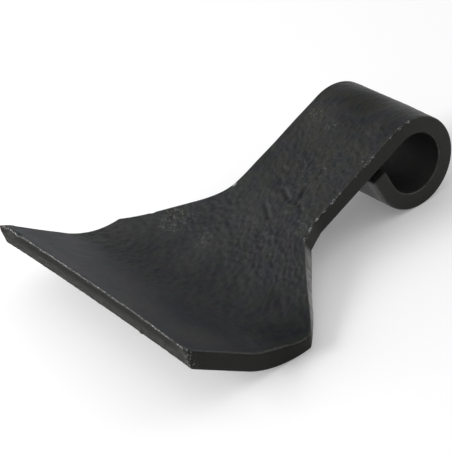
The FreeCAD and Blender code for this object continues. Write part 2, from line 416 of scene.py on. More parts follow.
def on_strip(p):
    """The station along the upper skin and the height above it, for a point of the level blade."""
    bend = p - BEND_CENTRE
    turn = math.atan2(bend.x, -bend.z)
    if p.x > BEND_START and turn > BEND_ANGLE:
        return LIP_STATION + (p - LIP_START).dot(LIP_DIRECTION), (p - LIP_START).dot(LIP_NORMAL)
    if p.x > BEND_START:
        return BEND_START + BEND_RADIUS * turn, BEND_RADIUS - math.hypot(bend.x, bend.z)
    if p.x > 0 and p.z > BORE_RADIUS - NEAR:
        return p.x, p.z - EYE_RADIUS
    turn = math.atan2(-p.x, p.z) % (2 * math.pi)
    if turn > EYE_WRAP:
        tail = p - TAIL_START
        tail_out = tail.x * TAIL_DIRECTION.z - tail.z * TAIL_DIRECTION.x
        return TAIL_STATION - tail.dot(TAIL_DIRECTION), tail_out
    return -EYE_RADIUS * turn, math.hypot(p.x, p.z) - EYE_RADIUS


def half_width(station):
    """Half the blade's width at a station of the strip."""
    if station < BEND_START:
        return width_at(station) / 2
    turn = min((station - BEND_START) / BEND_RADIUS, BEND_ANGLE)
    lip = max(station - LIP_STATION, 0)
    return width_at(bend_row(turn).x + lip * LIP_DIRECTION.x) / 2


class Place:
    """Where one point sits on the strip. Depth counts from 0 at the upper skin to 1 at the lower."""

    def __init__(self, p):
        self.station, self.height = on_strip(p)
        self.across = p.y
        self.from_side = half_width(self.station) - abs(p.y)
        self.depth = -self.height / THICKNESS
        self.from_edge = EDGE_STATION + edge_sweep(p.y) - self.station


mesh = bmesh.from_edit_mesh(blade.data)
places = [Place(point.co) for point in mesh.verts]
print(len(places), "points, from station", min(place.station for place in places) / MM, "mm")
print("to station", max(place.station for place in places) / MM, "mm")

# %% [markdown]
# ## Moves that fade out
# A drawing is symmetrical, and a hammered piece isn't. Points now move a little for what hammer,
# shears and wheel did near them, and each move has to fade out smoothly, or it leaves a step. A ramp
# climbs from 0 to 1 through a zone, a hump climbs and falls, and marks are humps in a row.

# %% Ramps and humps
def mm(*lengths):
    """Lengths in millimetres, such as the two ends of a zone, as metres."""
    return tuple(length * MM for length in lengths)


def ramp(value, low, high):
    """A smooth step from 0 at low to 1 at high, either way round."""
    t = min(max((value - low) / (high - low), 0), 1)
    return t * t * (3 - 2 * t)


def hump(value, low, high):
    """A smooth hump that is 1 half way between low and high, and 0 at both and beyond."""
    middle = (low + high) / 2
    return ramp(value, low, middle) * ramp(value, high, middle)


def marks(value, table):
    """The strongest of some humps, each given by its middle and half length in mm and its height."""
    spot = value / MM
    return max(height * hump(spot, middle - half, middle + half) for middle, half, height in table)


# %% [markdown]
# ## The far side
# Where the flare was hammered out, the far side of the neck ran into a soft curve and swelled a
# little beside it, and the far corner of the lip spread. The curve is the drawing's own outline,
# averaged over a few millimetres, and the rest are humps.

# %% Far side
NECK_SOFTNESS = 7 * MM
NECK_SAMPLES = 12
SOFT_FROM = mm(36, 44)
SOFT_TO = mm(76, 68)
FAR_SWELL = 0.35 * MM
NECK_SWELL_ZONE = mm(24, 60)
STEM_SWELL_ZONE = mm(0, 30)
FAR_SHOULDER_OUT = 0.25 * MM
FAR_SHOULDER_ZONE = mm(76, 104)
CORNER_SPREAD = 0.9 * MM
CORNER_MIDDLE = EDGE_STATION - 6 * MM
CORNER_FROM = (EDGE_STATION - 20 * MM, CORNER_MIDDLE)
CORNER_TO = (EDGE_STATION + 4 * MM, CORNER_MIDDLE)
CORNER_ACROSS = mm(45, 65)


def soft_width_at(x):
    """The width round the neck with its corners averaged out."""
    spots = [x + NECK_SOFTNESS * (2 * k / NECK_SAMPLES - 1) for k in range(NECK_SAMPLES + 1)]
    return sum(width_at(spot) for spot in spots) / len(spots)


def far_neck(place):
    """How far a point moves across to follow the averaged outline and the swells beside it."""
    share = ramp(place.station, *SOFT_FROM) * ramp(place.station, *SOFT_TO)
    soft = share * (soft_width_at(place.station) / width_at(place.station) - 1) * place.across
    stem_swell = hump(place.station, *STEM_SWELL_ZONE) / 2
    swell = FAR_SWELL * max(hump(place.station, *NECK_SWELL_ZONE), stem_swell)
    swell += FAR_SHOULDER_OUT * hump(place.station, *FAR_SHOULDER_ZONE)
    half = half_width(place.station)
    return soft - swell * ramp(-place.across, half / 2, half)


def far_corner(place):
    """How far a point moves across where the corner is spread."""
    along = ramp(place.station, *CORNER_FROM) * ramp(place.station, *CORNER_TO)
    return -along * CORNER_SPREAD * ramp(-place.across, *CORNER_ACROSS)


# %% [markdown]
# ## The near side
# The shears leaned while they cut the near side. At the shoulder the upper corner stands out and
# the underside is drawn in, at the lip it is the other way round, with a slight waist between.

# %% Near side
SHOULDER_OUT = 2.15 * MM
SHOULDER_PEAK = SHOULDER + 1 * MM
SHOULDER_FROM = (NECK_END + 8 * MM, SHOULDER_PEAK)
SHOULDER_TO = (SHOULDER + 13 * MM, SHOULDER_PEAK)
UNDERSIDE_IN = 1.0 * MM
UNDERSIDE_ZONE = (NECK_END + 2 * MM, SHOULDER)
WAIST = 0.8 * MM
WAIST_ZONE = (SHOULDER + 2 * MM, SHOULDER + 28 * MM)
WAIST_LOST_BELOW = 0.7
SIDE_LEAN = 0.38 * MM
LEAN_FROM = (SHOULDER + 8 * MM, SHOULDER + 20 * MM)
LEAN_TO_EDGE = mm(1, 8)
STILL_MIDDLE = 0.72


def near_side(place):
    """How far a point of the near side stands out."""
    station = place.station
    corner = ramp(station, *SHOULDER_FROM) * ramp(station, *SHOULDER_TO)
    out = (1 - place.depth) * corner * SHOULDER_OUT
    out -= place.depth * hump(station, *UNDERSIDE_ZONE) * UNDERSIDE_IN
    out -= hump(station, *WAIST_ZONE) * WAIST * (1 - WAIST_LOST_BELOW * place.depth)
    lean = ramp(station, *LEAN_FROM) * ramp(place.from_edge, *LEAN_TO_EDGE)
    out += lean * SIDE_LEAN * (2 * place.depth - 1)
    half = half_width(station)
    return out * ramp(place.across, STILL_MIDDLE * half, half)


# %% [markdown]
# ## The crest and the raised edge
# The eye's crest came out a little fuller than a true circle, except at the near end, and under the
# wheel the upper skin rose a little along the cutting edge. Then all the moves are made at once.

# %% Crest and raised edge
EYE_SWELL = 0.42 * MM
CREST_ZONE = mm(-52, 4)
CREST_ACROSS = mm(24, 8)
EDGE_RISE = 0.42 * MM
RISE_TO_EDGE = mm(10, 0.5)
RISE_DEPTH = (0.45, 0.05)
RISE_ACROSS = mm(58, 26)


def eye_swell(place):
    """How far the eye's crest stands out of its circle."""
    return EYE_SWELL * hump(place.station, *CREST_ZONE) * ramp(place.across, *CREST_ACROSS)


def edge_rise(place):
    """How far the upper skin rises along the cutting edge, less so at the near end."""
    rise = ramp(place.from_edge, *RISE_TO_EDGE) * ramp(place.depth, *RISE_DEPTH)
    return EDGE_RISE * rise * ramp(place.across, *RISE_ACROSS)


for point, place in zip(mesh.verts, places):
    out_of_eye = Vector((point.co.x, 0, point.co.z)).normalized()
    point.co += eye_swell(place) * out_of_eye
    if place.station > 0 and place.across < 0:
        point.co.y += far_neck(place) + far_corner(place)
    elif place.station > 0:
        point.co.y += near_side(place)
    if place.station > LIP_STATION:
        point.co += edge_rise(place) * LIP_NORMAL
bmesh.update_edit_mesh(blade.data)
print("width with the leaning shoulder", 2 * max(point.co.y for point in mesh.verts) / MM, "mm")

# %% [markdown]
# ## Creases at the neck
# Where the strip was drawn in at the neck, the hot skin folded, and the hammer left short sharp
# creases in it. They are too few and too clear to come from a noise, so each is pressed in one by one:
# a line on the strip with a width and a depth. Points near the line sink along their own normal.

# %% Creases
CREASES_MM = [
    ((43.4, -1.2), (45.9, 4.7), 1.6, 0.75),
    ((46.3, 9.9), (37.9, 8.1), 1.4, 0.65),
    ((46.6, 7.1), (41.3, 8.5), 1.4, 0.50),
    ((46.1, 12.4), (47.9, 15.4), 1.3, 0.50),
    ((52.9, -2.5), (57.3, 3.9), 1.5, 0.65),
    ((51.0, 9.6), (47.0, 13.4), 1.2, -0.40),
    ((39.4, -7.6), (41.5, -4.3), 1.7, 0.45),
    ((35.3, -10.0), (35.5, -5.2), 1.5, 0.35),
    ((32.4, 9.6), (28.1, 9.0), 1.5, 0.35),
    ((85.4, 42.3), (90.0, 48.1), 1.5, 0.30),
]
CREASED_DEPTH = 0.05


def line_distance(spot, start, end):
    """How far a spot on the strip is from the line between two others."""
    run = end - start
    share = min(max((spot - start).dot(run) / run.length_squared, 0), 1)
    return (spot - start - share * run).length


def crease_depth(place):
    """How deep all the creases together press the upper skin in at a place."""
    spot = Vector((place.station, place.across)) / MM
    depth = 0
    for start, end, width, deepest in CREASES_MM:
        share = line_distance(spot, Vector(start), Vector(end)) / width
        if share < 1:
            depth += deepest * (1 - share * share) ** 2
    return depth * MM


creased = 0
for point, place in zip(mesh.verts, places):
    if place.depth < CREASED_DEPTH:
        depth = crease_depth(place)
        point.co -= depth * point.normal
        creased += depth != 0
bmesh.update_edit_mesh(blade.data)
print("points in creases:", creased)

# %% [markdown]
# ## Chips
# The edge has met stones, or other blades in the crate, and its upper arris is nibbled all along.
# Each nibble has a place, a half length and a depth, drawn by chance, but from a fixed seed so that
# the blade is the same each time. One larger chip towards the far end is added to the list.

# %% Chips
CHIP_SEED = 11
CHIP_COUNT = 34
CHIP_RANGES_MM = [(-62, 62), (0.8, 2.4), (0.06, 0.30)]
LARGE_CHIP_MM = (-53.2, 2.4, 0.95)
CHIP_REACH = mm(1.3, 0.2)
CHIP_DIRECTION = 0.4 * LIP_DIRECTION + LIP_NORMAL
STILL = Vector((0, 0, 0))

rng = random.Random(CHIP_SEED)
chips = [tuple(rng.uniform(*ends) for ends in CHIP_RANGES_MM) for _ in range(CHIP_COUNT)]
chips.append(LARGE_CHIP_MM)


def chipped(place):
    """How the nibbles in the upper arris of the cutting edge move a point."""
    reach = ramp(math.hypot(place.from_edge, place.height), *CHIP_REACH)
    if reach == 0:
        return STILL
    return -reach * marks(place.across, chips) * MM * CHIP_DIRECTION


print("chips along the edge:", len(chips))

# %% [markdown]
# ## Knocks and a burr
# The near corner of the edge is knocked round and the far one is drawn out into a little hooked tip.
# The far flank has one small bite from the shears, and the grinding wheel left a burr under the
# edge. Each is a short function that says how a point moves, by a millimetre or so at most.

# %% Knocks
KNOCK_REACH = 3.6 * MM
KNOCK_DIRECTION = 0.3 * (LIP_DIRECTION + Vector((0, 1, 0)))
KNOCK_LOST_BELOW = 0.4
TIP_REACH = mm(5, 0)
TIP_MOVE = (1.2 * LIP_DIRECTION - 0.7 * LIP_NORMAL) * MM
BITE_MM = [(79.8, 1.4, 0.6)]
BITE_REACH = mm(2, 0)
BURR_MM = [(31.5, 1.6, 0.45)]
BURR_REACH = 1 * MM
BURR_DIRECTION = (LIP_DIRECTION - LIP_NORMAL).normalized()


def knocked(place):
    """How the near corner is knocked in, or the far one drawn out."""
    if place.across < 0:
        return ramp(math.hypot(place.from_edge, place.from_side), *TIP_REACH) * TIP_MOVE
    knock = KNOCK_REACH - max(place.from_edge, 0) - max(place.from_side, 0)
    return -max(knock, 0) * (1 - KNOCK_LOST_BELOW * place.depth) * KNOCK_DIRECTION


def bitten(place):
    """How the bite in the far flank moves a point."""
    if place.across > 0:
        return STILL
    bite = marks(place.station, BITE_MM) * MM * ramp(place.from_side, *BITE_REACH)
    return Vector((0, bite, 0))


def burred(place):
    """How the burr at the foot of the ground face moves a point."""
    if abs(place.from_edge - GRIND_SETBACK) + abs(place.height + THICKNESS) > BURR_REACH:
        return STILL
    return marks(place.across, BURR_MM) * MM * BURR_DIRECTION


for point, place in zip(mesh.verts, places):
    point.co += chipped(place) + knocked(place) + bitten(place) + burred(place)
bmesh.update_edit_mesh(blade.data)
bpy.ops.object.mode_set(mode="OBJECT")
print("points at the near knock:", sum(knocked(place).y < 0 for place in places))

# %% [markdown]
# ## The hammered skin
# The stem and the flare carry the marks of the forge: shallow dents a few millimetres apart and
# broad waves. The scoop was pressed in a polished die and is smooth. Displace modifiers push the
# skin in and out by procedural noise, and a vertex group says how much of it each place gets. The
# side faces get none, so that the arrises stay whole.

# %% Hammered skin
FADE_FROM_SIDE = mm(0.1, 1.2)
FADE_FROM_EDGE = (EDGE_STATION - 0.5 * MM, EDGE_STATION - 2 * MM)
FADE_FROM_TAIL_END = (TAIL_STATION - TAIL_LENGTH, TAIL_STATION)
UPPER_DEPTH = (0.06, 0)
LOWER_DEPTH = (0.94, 1)
FLARE_EXTRA = 0.6
FLARE_ZONE = (STEM_LENGTH, NECK_END + 10 * MM)
SCOOP_SMOOTHED = 0.78
SCOOP_ZONE = (SHOULDER + 8 * MM, SHOULDER + 34 * MM)
EYE_SMOOTHED = 0.6
EYE_ZONE = mm(4, -12)
BORE_SMOOTHED = 0.9
BORE_ZONE = mm(8, 0)
WAVES_EVERYWHERE = 0.3
WAVES_HAMMERED = 0.45


def skin_share(place):
    """1 on the upper and lower skins, fading out over the last bit before the side faces."""
    inside = ramp(place.from_side, *FADE_FROM_SIDE)
    ends = ramp(place.station, *FADE_FROM_EDGE) * ramp(place.station, *FADE_FROM_TAIL_END)
    return inside * ends * max(ramp(place.depth, *UPPER_DEPTH), ramp(place.depth, *LOWER_DEPTH))


def hammered(place):
    """How strongly a place was hammered: the flare most, the scoop, the eye and the bore less."""
    share = 1 + FLARE_EXTRA * ramp(place.station, *FLARE_ZONE)
    share *= 1 - SCOOP_SMOOTHED * ramp(place.station, *SCOOP_ZONE)
    share *= 1 - EYE_SMOOTHED * ramp(place.station, *EYE_ZONE)
    if place.depth > 1 / 2:
        share *= 1 - BORE_SMOOTHED * ramp(place.station, *BORE_ZONE)
    return share


groups = {name: blade.vertex_groups.new(name=name) for name in ("waves", "dents")}
for index, place in enumerate(places):
    skin = skin_share(place)
    waves = WAVES_EVERYWHERE + WAVES_HAMMERED * hammered(place)
    groups["waves"].add([index], skin * waves, "REPLACE")
    groups["dents"].add([index], skin * hammered(place) / (1 + FLARE_EXTRA), "REPLACE")
print("groups:", *groups)

# %% [markdown]
# Three noises make the relief: broad soft waves, round hammer dents from a pattern of cells, and a
# finer soft noise over those. For each there is the group, how strong it is, how large its marks
# are, the kind of noise and how much finer detail it has.

# %% Relief
RELIEF = [
    ("waves", 0.45 * MM, 11 * MM, "IMPROVED_PERLIN", 1),
    ("dents", 0.80 * MM, 2.4 * MM, "VORONOI_F1", 0),
    ("dents", 0.93 * MM, 1.6 * MM, "IMPROVED_PERLIN", 1),
]


def displace(group, strength, scale, basis, detail):
    """Push the skin of a group in and out by a cloud noise."""
    noise = bpy.data.textures.new(group, type="CLOUDS")
    noise.noise_scale = scale
    noise.noise_basis = basis
    noise.noise_depth = detail
    apply_modifier("DISPLACE", texture=noise, vertex_group=group, strength=strength)


for row in RELIEF:
    displace(*row)

# %% [markdown]
# ## Laid at rest
# So far the stem has been level. Put down on a bench, the blade tips until the eye and the back of
# the scoop both touch. The solid model lies like that, so the finished form is turned to match.

# %% Rest
bend_height = EYE_RADIUS + BEND_RADIUS
centre_distance = math.hypot(BEND_START, bend_height)
radius_step = BEND_RADIUS + THICKNESS - EYE_RADIUS
REST_TILT = math.acos(radius_step / centre_distance) - math.atan(BEND_START / bend_height)
bpy.ops.object.mode_set(mode="EDIT")
bpy.ops.mesh.select_all(action="SELECT")
bpy.ops.transform.rotate(value=-REST_TILT, orient_axis="Y", center_override=(0, 0, 0))
bpy.ops.object.mode_set(mode="OBJECT")
bpy.ops.object.shade_smooth()
print("tilted by", math.degrees(REST_TILT), "degrees")

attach(blade, "root")
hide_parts("hammer_blade")

# %% [markdown]
# ## Where the finish changes
# The mesh remembers where the paint is worn, dull or greyer, and where a highlight, a reflection or
# light is painted, as attributes, one number for each point, and the material reads them. Single marks
# are listed by their place on the strip: those along an edge by middle, half length and strength,
# patches of skin by station, across, radius and strength.

# %% Tables of worn places
KNOCKS_MM = [(-7.3, 2.4, 0.9), (-2.4, 3.2, 0.9), (3.5, 3.0, 0.6), (8.5, 2.0, 0.4), (15.0, 3.0, 0.8),
             (18.5, 2.0, 0.6), (24.5, 1.6, 0.5), (33.8, 2.4, 0.9), (38.3, 3.6, 0.9), (43.5, 2.0, 0.8),
             (48.1, 2.6, 1.0), (53.3, 3.4, 1.0), (57.5, 2.6, 0.9)]
FAR_KNOCK_MM = [(51.6, 2.2, 1.25)]
EDGE_KEPT_MM = [(-33, 6, 0.12), (-12, 7, 0.18), (10, 9, 0.12), (27, 10, 0.24), (54, 8, 0.22)]
SCUFFS_MM = [(76, -38, 14, 1.0), (79, -16, 6, 0.9), (50.5, 11.5, 5, 0.6), (54, 21, 7, 0.7),
             (16, 22, 5, 0.6), (6, -17, 9, 0.6), (9, -6, 4, 0.7), (4, 14, 2.5, 0.8),
             (66, -44, 14, 0.6), (70, 5, 20, 0.35), (30, 5, 26, 0.35)]
GREYER_PATCHES_MM = [(57, -6, 14, 0.3), (93, -52, 16, 0.55), (107, -57, 12, 0.48), (131, 50, 20, 0.75),
           (136, 20, 18, 0.55), (112, 53, 12, 0.4), (122, 0, 22, 0.42), (12, -12, 14, 0.24),
           (88, -14, 14, 0.4), (90, 29, 9, 0.3), (95, -60, 9, 0.9), (137, 35, 14, 0.45),
           (91, 46, 9, 0.3), (86, -33, 15, 0.12), (2, -10, 8, 0.25)]
DULL_MM = [(92, 57, 24, 1.0), (85, 38, 14, 0.5), (2, 3, 13, 0.4), (-8, -4, 17, 0.75),
           (74, -31, 18, 0.25), (76, 4, 16, 0.35), (29, -3, 14, 0.3), (36, -20, 9, 0.3),
           (41, -6, 9, 0.35), (0, 22, 8, 0.4)]
UPPER_SKIN = (0.3, 0.1)
OUTER_SKIN = (0.1, 0)
BORE_SKIN = (0.9, 1)
ARRIS_REACH = mm(0.9, 0.3)
PATCH_CORE = 0.2


def arris(a, b):
    """1 on the arris where two faces meet, 0 from a bit away from it on either face."""
    return ramp(max(a, b), *ARRIS_REACH)


def patches(place, table):
    """The strongest of some soft round patches on the upper skin."""
    spot = Vector((place.station, place.across)) / MM
    strongest = max(amount * ramp((spot - Vector((station, across))).length, radius, PATCH_CORE * radius)
                    for station, across, radius, amount in table)
    return strongest * ramp(place.depth, *UPPER_SKIN)


print("patches:", len(SCUFFS_MM + GREYER_PATCHES_MM + DULL_MM))

# %% [markdown]
# Paint goes first where things touch it. The cutting edge is worn all along, a little less where
# the coat was kept, and the near arris of the stem has single knocks, the far one a knock at the
# neck. Other arrises, and the lip of the bore, are worn grey by rubbing, and the grey line there is
# also a painted highlight.

# %% Bare, rubbing and painted highlights
EDGE_WEAR = 0.66
KNOCK_WEAR = 0.8
KNOCKS_END = NECK_END + 3 * MM
FAR_KNOCK_SPREAD = 2.5
RUB_NARROWED = 2
FAR_RUB = 0.3
LIP_RUBS_FROM = SHOULDER - 4 * MM
LIP_UPPER_RUB = 0.85
LIP_LOWER_RUB = 0.3
STEM_RUB = 0.5
BORE_RUB_AND_HIGHLIGHT = 1.5
BORE_LINE_FROM = mm(-16, -24)


def bare(place):
    """Where the paint may be worn through to steel."""
    worn = 0
    if place.station > LIP_STATION:
        worn = ramp(math.hypot(place.from_edge, place.height), *ARRIS_REACH)
        worn *= EDGE_WEAR * (1 - marks(place.across, EDGE_KEPT_MM))
    if place.station < KNOCKS_END and place.across > 0:
        near_arris = arris(place.from_side, -place.height)
        worn = KNOCK_WEAR * near_arris * marks(place.station, KNOCKS_MM)
    if place.across < 0:
        far_arris = arris(place.from_side / FAR_KNOCK_SPREAD, -place.height)
        worn = max(worn, far_arris * marks(place.station, FAR_KNOCK_MM))
    return worn


def rubbed_and_highlit(place):
    """Arrises painted a lighter grey: paint worn by rubbing, and a painted highlight along them."""
    upper = arris(place.from_side, -RUB_NARROWED * place.height)
    lower = arris(place.from_side, RUB_NARROWED * (THICKNESS + place.height))
    if place.across < 0:
        return FAR_RUB * upper
    if place.station > LIP_RUBS_FROM:
        return max(LIP_UPPER_RUB * upper, LIP_LOWER_RUB * lower)
    # On the lip of the bore the grey line is a painted highlight as well as worn paint.
    return max(STEM_RUB * upper, BORE_RUB_AND_HIGHLIGHT * lower * ramp(place.station, *BORE_LINE_FROM))


# %% [markdown]
# Shears and wheel leave faces that take the paint in their own way: the cut sides, on which shade is
# also painted, and the end of the tail, and the ground face under the edge, which is darker along its
# upper part. The scoop came smooth out of its die, and the hammered flare has a colder cast.

# %% Cut, ground, dark band, pressed and spread
SIDE_FACE = (ARRIS, 0.1 * MM)
TAIL_FACE = mm(0.4, 0.1)
CLEAR_OF_SKIN = mm(0.1, 0.4)
GROUND_FACE = mm(0.5, 0.15)
GROUND_ZONE = mm(20, 8)
BAND_TOP = (0.02, 0.10)
BAND_FOOT = (0.62, 0.32)
BAND_FAR = mm(-62, -50)
BAND_NEAR = mm(62, 52)
SPREAD_ZONE = mm(30, 56)


def cut(place):
    """The sheared side faces and the face at the end of the tail."""
    inside = min(place.depth, 1 - place.depth) * THICKNESS
    tail = ramp(place.station - TAIL_STATION + TAIL_LENGTH, *TAIL_FACE)
    return max(ramp(place.from_side, *SIDE_FACE), tail) * ramp(inside, *CLEAR_OF_SKIN)


def ground(place):
    """The ground face under the cutting edge."""
    wheel = place.from_edge + place.height / math.tan(EDGE_ANGLE)
    return ramp(wheel, *GROUND_FACE) * ramp(place.from_edge, *GROUND_ZONE)


def dark_band(place):
    """A darker band along the upper part of the ground face."""
    band = ramp(place.depth, *BAND_TOP) * ramp(place.depth, *BAND_FOOT)
    return band * ramp(place.across, *BAND_FAR) * ramp(place.across, *BAND_NEAR) * ground(place)


def pressed(place):
    """The smooth inside of the scoop."""
    return ramp(place.station, *SCOOP_ZONE) * ramp(place.depth, *UPPER_SKIN)


def spread(place):
    """The neck and the flare, whose coat has a colder cast."""
    return ramp(place.station, *SPREAD_ZONE)


# %% [markdown]
# The coat itself isn't even. It was scuffed in patches and at the knocked corner, it is greyer on
# some skin, on the eye's ends and on the neck's facets, the lower part of the bore gets painted light,
# and it dried dull on the ground face, the lip's sides and the shoulder, but glossy round the outside
# of the eye.

# %% Scuffed, greyer, dull and glossy
CORNER_SCUFF = 1.25
CORNER_SCUFF_REACH = mm(5, 1.2)
GREYER_SHARES = {"facets": 0.62, "ends": 0.29, "bore": 0.7}
FACET_ZONE = (NECK_END - 12 * MM, NECK_END + 4 * MM)
EYE_END_ZONE = mm(2, -25)
PAINTED_LIGHT_BORE_ZONE = mm(-95, -35)
DULL_SHARES = {"sides": 0.1, "lip sides": 0.35, "ground": 0.9, "skin": 0.8, "bore": 0.4}
LIP_SIDE_ZONE = (SHOULDER - 8 * MM, SHOULDER + 2 * MM)
DULL_BORE_ZONE = mm(0, -6)
GLOSSY_ZONE = mm(-3, -14)
LESS_GLOSS = 0.4
LESS_GLOSS_ZONE = mm(-8, -22)


def scuffed(place):
    """Skin that rubbed on something, in patches, and the knocked corner."""
    off_wheel = place.from_edge - place.depth * GRIND_SETBACK
    corner = ramp(math.hypot(off_wheel, place.from_side), *CORNER_SCUFF_REACH) * (place.across > 0)
    return max(patches(place, SCUFFS_MM), CORNER_SCUFF * corner)


def greyer_and_painted_light(place):
    """Where the coat is painted a lighter grey, and where the lower bore gets painted light."""
    facets = GREYER_SHARES["facets"] * hump(place.station, *FACET_ZONE)
    ends = GREYER_SHARES["ends"] * ramp(place.station, *EYE_END_ZONE)
    # In the lower part of the bore the lighter grey is painted light, where the bore gets little light.
    bore = ramp(place.depth, *BORE_SKIN) * hump(place.station, *PAINTED_LIGHT_BORE_ZONE)
    return max(patches(place, GREYER_PATCHES_MM), (ends + facets) * cut(place), GREYER_SHARES["bore"] * bore)


def dull(place):
    """Where the coat dried dull."""
    lip_sides = DULL_SHARES["lip sides"] * ramp(place.station, *LIP_SIDE_ZONE)
    sides = cut(place) * (DULL_SHARES["sides"] + lip_sides)
    skin = DULL_SHARES["skin"] * patches(place, DULL_MM)
    bore = DULL_SHARES["bore"] * ramp(place.depth, *BORE_SKIN) * ramp(place.station, *DULL_BORE_ZONE)
    return max(sides, DULL_SHARES["ground"] * ground(place), skin, bore)


def glossy(place):
    """Where the paint ran together and dried glossy."""
    far_end = LESS_GLOSS * ramp(place.across, *LESS_GLOSS_ZONE)
    return ramp(place.station, *GLOSSY_ZONE) * ramp(place.depth, *OUTER_SKIN) * (1 - far_end)


# %% [markdown]
# Two faces get a grey gloss from a clear coat, and a grey painted reflection in their colour: the
# near flank, more so in its lower part, and the underside of the tail, most of all in a streak close
# to its sides.

# %% Sheen
FLANK_SHEEN = 0.92
FLANK_FROM = (NECK_END, NECK_END + 3 * MM)
FLANK_TO = (SHOULDER, SHOULDER - 9 * MM)
FLANK_LEAST = 0.75
FLANK_DEPTH = (0.25, 0.5)
UNDERSIDE_FROM = (-3.5 * EYE_RADIUS, -4.9 * EYE_RADIUS)
UNDERSIDE_LEAST = 0.6
STREAK_ZONE = mm(1.2, 6.4)


def gloss_and_painted_sheen(place):
    """Where a clear coat and a grey painted reflection in the colour make a grey gloss."""
    flank = 0
    if place.across > 0:
        flank = FLANK_SHEEN * ramp(place.station, *FLANK_FROM) * ramp(place.station, *FLANK_TO)
        flank *= cut(place) * (FLANK_LEAST + (1 - FLANK_LEAST) * ramp(place.depth, *FLANK_DEPTH))
    underside = ramp(place.station, *UNDERSIDE_FROM) * ramp(place.depth, *OUTER_SKIN)
    underside *= UNDERSIDE_LEAST + (1 - UNDERSIDE_LEAST) * hump(place.from_side, *STREAK_ZONE)
    return max(flank, underside)


# %% [markdown]
# All of these are written onto the mesh by name. A vector attribute keeps each point's place on the
# strip as well, so that scratches and shear marks can follow the steel round its bends.

# %% Finish attributes
for finish in (bare, rubbed_and_highlit, cut, ground, dark_band, pressed, spread, scuffed, greyer_and_painted_light, dull, glossy, gloss_and_painted_sheen):
    values = [finish(place) for place in places]
    attribute = blade.data.attributes.new(finish.__name__, "FLOAT", "POINT")
    attribute.data.foreach_set("value", values)
    print(finish.__name__, "on", sum(value > 0 for value in values), "points")

strip = blade.data.attributes.new("strip", "FLOAT_VECTOR", "POINT")
strip.data.foreach_set("vector", [number for place in places
                                  for number in (place.station, place.across, place.height)])

# %% [markdown]
# ## Sums on a surface
# A material is a board of little machines joined by wires, and most of them only do sums. The class
# Signal is one wire that carries a number. Adding or multiplying wires writes the Math nodes.

# %% Signal
class Signal:
    """One output socket, with the usual arithmetic for numbers."""

    def __init__(self, board, socket):
        self.board = board
        self.socket = socket

    def __add__(self, other):
        return self.board.sum("ADD", self, other)

    def __mul__(self, other):
        return self.board.sum("MULTIPLY", self, other)

    def __sub__(self, other):
        return self.board.sum("SUBTRACT", self, other)

    def __rsub__(self, other):
        return self.board.sum("SUBTRACT", other, self)

    __radd__ = __add__
    __rmul__ = __mul__


# %% [markdown]
# The class Finish is the board. Its method node makes any machine, and the other methods are short
# names for the ones that this paint needs.

# %% Finish
class Finish:
    """One material and the nodes that make it."""

    def __init__(self, name):
        self.material = bpy.data.materials.new(name)
        self.material.use_nodes = True
        self.tree = self.material.node_tree
        self.shader = self.tree.nodes["Principled BSDF"]

    def feed(self, socket, value):
        """Put a wire or a fixed value on a socket."""
        if isinstance(value, Signal):
            self.tree.links.new(value.socket, socket)
        else:
            socket.default_value = value

    def node(self, kind, settings, inputs, output=0):
        """Add a node, its settings first and then its sockets, and give back one of its outputs."""
        node = self.tree.nodes.new("ShaderNode" + kind)
        for name, value in settings.items():
            setattr(node, name, value)
        for name, value in inputs.items():
            self.feed(node.inputs[name], value)
        return Signal(self, node.outputs[output])

    def sum(self, operation, a, b):
        return self.node("Math", {"operation": operation}, {0: a, 1: b})

    def larger(self, a, b):
        return self.sum("MAXIMUM", a, b)

    def attribute(self, name, output="Fac"):
        settings = {"attribute_type": "GEOMETRY", "attribute_name": name}
        return self.node("Attribute", settings, {}, output)

    def stretched(self, vector, factors):
        """A place with each direction scaled by its own factor, for a pattern with a grain."""
        return self.node("VectorMath", {"operation": "MULTIPLY"}, {0: vector, 1: factors})

    def noise(self, vector, size, detail=2.0, roughness=0.5):
        """A soft random pattern whose blots are about the given size."""
        inputs = {"Vector": vector, "Scale": 1 / size, "Detail": detail, "Roughness": roughness}
        return self.node("TexNoise", {}, inputs)

    def step(self, value, ends):
        """0 below the first of two ends, 1 above the second, and smooth between."""
        return self.node("MapRange", {"interpolation_type": "SMOOTHSTEP"},
                         {"Value": value, "From Min": ends[0], "From Max": ends[1]})

    def mix(self, share, first, second):
        """A colour between two others."""
        return self.node("Mix", {"data_type": "RGBA"}, {0: share, 6: first, 7: second}, 2)

    def set(self, shader=None, **values):
        """Feed a shader's sockets, with spaces in their names written as underscores."""
        for name, value in values.items():
            self.feed((shader or self.shader).inputs[name.replace("_", " ")], value)

    def blend(self, share):
        """Add a second Principled shader, which takes over from the first by a share."""
        second = self.node("BsdfPrincipled", {}, {})
        both = self.node("MixShader", {}, {0: share, 1: Signal(self, self.shader.outputs[0]), 2: second})
        self.feed(self.tree.nodes["Material Output"].inputs["Surface"], both)
        return second.socket.node


# %% [markdown]
# ## Black paint over forged steel
# The blade was dipped, so one coat covers all of it, nearly black and satin. What the eye reads as
# its tone is mostly the soft reflection of the room. Noises break it up: large blots and tints for
# the colour, fine speckle and grain for the wear, and lines along the wheel and the shears.

# %% Noises
MIRRORED = (-1, 1, 1)
ALONG_WHEEL = (1, 0.2, 1)
ALONG_SHEARS = (1, 1, 0.15)
MIDDLE = 0.5
SOFT_DETAIL = 1.5
BLOT_SIZE, TINT_SIZE = mm(6, 7)
SPECKLE_SIZE, GRAIN_SIZE, MARK_SIZE = mm(0.7, 0.35, 0.8)

